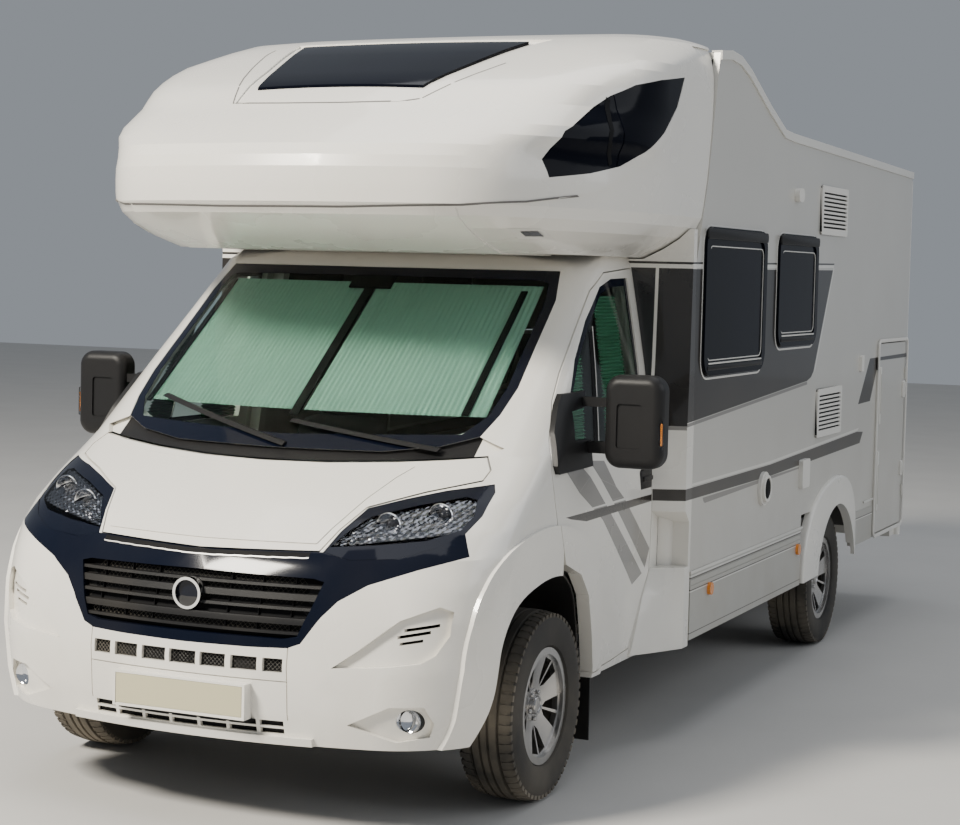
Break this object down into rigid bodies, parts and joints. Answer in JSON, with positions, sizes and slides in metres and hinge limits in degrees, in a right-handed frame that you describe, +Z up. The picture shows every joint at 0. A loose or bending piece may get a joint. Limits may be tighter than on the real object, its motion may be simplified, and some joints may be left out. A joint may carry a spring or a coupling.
{
  "type": "coachbuilt motorhome",
  "caption": "Coach-built motorhome with a moulded sleeping pod over the driving cab, flat-sided living body, opening doors and bonnet, and steered, turning wheels.",
  "frame": {"origin": "on the ground under the middle of the bounding box", "axes": "+Z up, front of the vehicle toward -Y, the vehicle's left side toward +X"},
  "size_m": [2.66, 6.62, 3.015],
  "materials": {
    "white_paint": "gloss",
    "gel_coat": "gloss",
    "side_sheet": "satin",
    "trim_alloy": "satin",
    "black_plastic": "matte",
    "gloss_black": "gloss",
    "lamp_glass": "clear",
    "screen_glass": "clear",
    "dark_acrylic": "tinted",
    "blind_fabric": "pleated",
    "grey_plastic": "matte",
    "seat_fabric": "woven",
    "grey_board": "matte",
    "white_plastic": "satin",
    "amber_lens": "clear",
    "red_lens": "clear",
    "dark_iron": "matte",
    "rubber_black": "matte",
    "tyre_rubber": "matte",
    "alloy_wheel": "brushed"
  },
  "bodies": {
    "vehicle": {"alcove": "gel_coat", "alcove_windows": "dark_acrylic", "arch_liners": "black_plastic", "cab_fairings": "gel_coat", "cab_seats": "seat_fabric", "cab_shell": "white_paint", "chassis_frame": "dark_iron", "cowl": "black_plastic", "dashboard": "grey_plastic", "engine": "dark_iron", "fridge_vents": "white_plastic", "front_bumper": "white_paint", "front_wings": "white_paint", "grille_bars": "black_plastic", "grille_surround": "gloss_black", "headlamps": "lamp_glass", "house_floor": "grey_board", "house_windows": "dark_acrylic", "marker_lamps": "amber_lens", "mudflaps": "rubber_black", "radiator": "dark_iron", "rear_axle": "dark_iron", "rear_bumper": "gel_coat", "rear_plate": "white_plastic", "rear_wall": "gel_coat", "roof": "gel_coat", "roof_edges": "trim_alloy", "roof_hatches": "white_plastic", "side_fittings": "white_plastic", "side_wall_left": "side_sheet", "side_wall_right": "side_sheet", "skirts": "trim_alloy", "skylight": "dark_acrylic", "tail_lamps": "red_lens", "underfloor_tanks": "grey_plastic", "wheel_arches": "gel_coat", "windscreen": "screen_glass", "windscreen_blind": "blind_fabric", "wipers": "black_plastic"},
    "bonnet_lid": {"bonnet": "white_paint"},
    "door_left": {"cab_door_left": "white_paint", "door_glass_left": "screen_glass", "mirror_left": "black_plastic"},
    "door_right": {"cab_door_right": "white_paint", "door_glass_right": "screen_glass", "mirror_right": "black_plastic"},
    "entrance_leaf": {"entrance_door": "side_sheet"},
    "garage_lid_left": {"garage_door_left": "side_sheet"},
    "garage_lid_right": {"garage_door_right": "side_sheet"},
    "steer_left": {"knuckle_left": "dark_iron"},
    "steer_right": {"knuckle_right": "dark_iron"},
    "wheel_front_left": {"rim_front_left": "alloy_wheel", "tyre_front_left": "tyre_rubber"},
    "wheel_front_right": {"rim_front_right": "alloy_wheel", "tyre_front_right": "tyre_rubber"},
    "wheel_rear_left": {"rim_rear_left": "alloy_wheel", "tyre_rear_left": "tyre_rubber"},
    "wheel_rear_right": {"rim_rear_right": "alloy_wheel", "tyre_rear_right": "tyre_rubber"}
  },
  "joints": [
    {"name": "door_left_hinge", "type": "hinge", "parent": "vehicle", "child": "door_left", "pos_m": [1.036, -2.291, 1], "axis": [0, 0, -1], "range_deg": [0, 66]},
    {"name": "steer_left", "type": "hinge", "parent": "vehicle", "child": "steer_left", "pos_m": [0.835, -2.336, 0.358], "axis": [0, 0, 1], "range_deg": [-35, 35]},
    {"name": "wheel_front_left_spin", "type": "hinge", "parent": "steer_left", "child": "wheel_front_left", "pos_m": [0.905, -2.336, 0.358], "axis": [1, 0, 0], "continuous": true},
    {"name": "wheel_rear_left_spin", "type": "hinge", "parent": "vehicle", "child": "wheel_rear_left", "pos_m": [0.99, 1.464, 0.358], "axis": [1, 0, 0], "continuous": true},
    {"name": "door_right_hinge", "type": "hinge", "parent": "vehicle", "child": "door_right", "pos_m": [-1.036, -2.291, 1], "axis": [0, 0, 1], "range_deg": [0, 66]},
    {"name": "steer_right", "type": "hinge", "parent": "vehicle", "child": "steer_right", "pos_m": [-0.835, -2.336, 0.358], "axis": [0, 0, 1], "range_deg": [-35, 35]},
    {"name": "wheel_front_right_spin", "type": "hinge", "parent": "steer_right", "child": "wheel_front_right", "pos_m": [-0.905, -2.336, 0.358], "axis": [1, 0, 0], "continuous": true},
    {"name": "wheel_rear_right_spin", "type": "hinge", "parent": "vehicle", "child": "wheel_rear_right", "pos_m": [-0.99, 1.464, 0.358], "axis": [1, 0, 0], "continuous": true},
    {"name": "bonnet_hinge", "type": "hinge", "parent": "vehicle", "child": "bonnet_lid", "pos_m": [0, -2.606, 1.335], "axis": [-1, 0, 0], "range_deg": [0, 50]},
    {"name": "entrance_hinge", "type": "hinge", "parent": "vehicle", "child": "entrance_leaf", "pos_m": [-1.16, -0.004, 1.4], "axis": [0, 0, 1], "range_deg": [0, 100]},
    {"name": "garage_left_hinge", "type": "hinge", "parent": "vehicle", "child": "garage_lid_left", "pos_m": [1.16, 3.112, 1.05], "axis": [0, 0, 1], "range_deg": [0, 100]},
    {"name": "garage_right_hinge", "type": "hinge", "parent": "vehicle", "child": "garage_lid_right", "pos_m": [-1.16, 3.112, 1.05], "axis": [0, 0, -1], "range_deg": [0, 100]}
  ],
  "couplings": [
    {"joint": "steer_right", "follows": "steer_left", "ratio": 1}
  ]
}
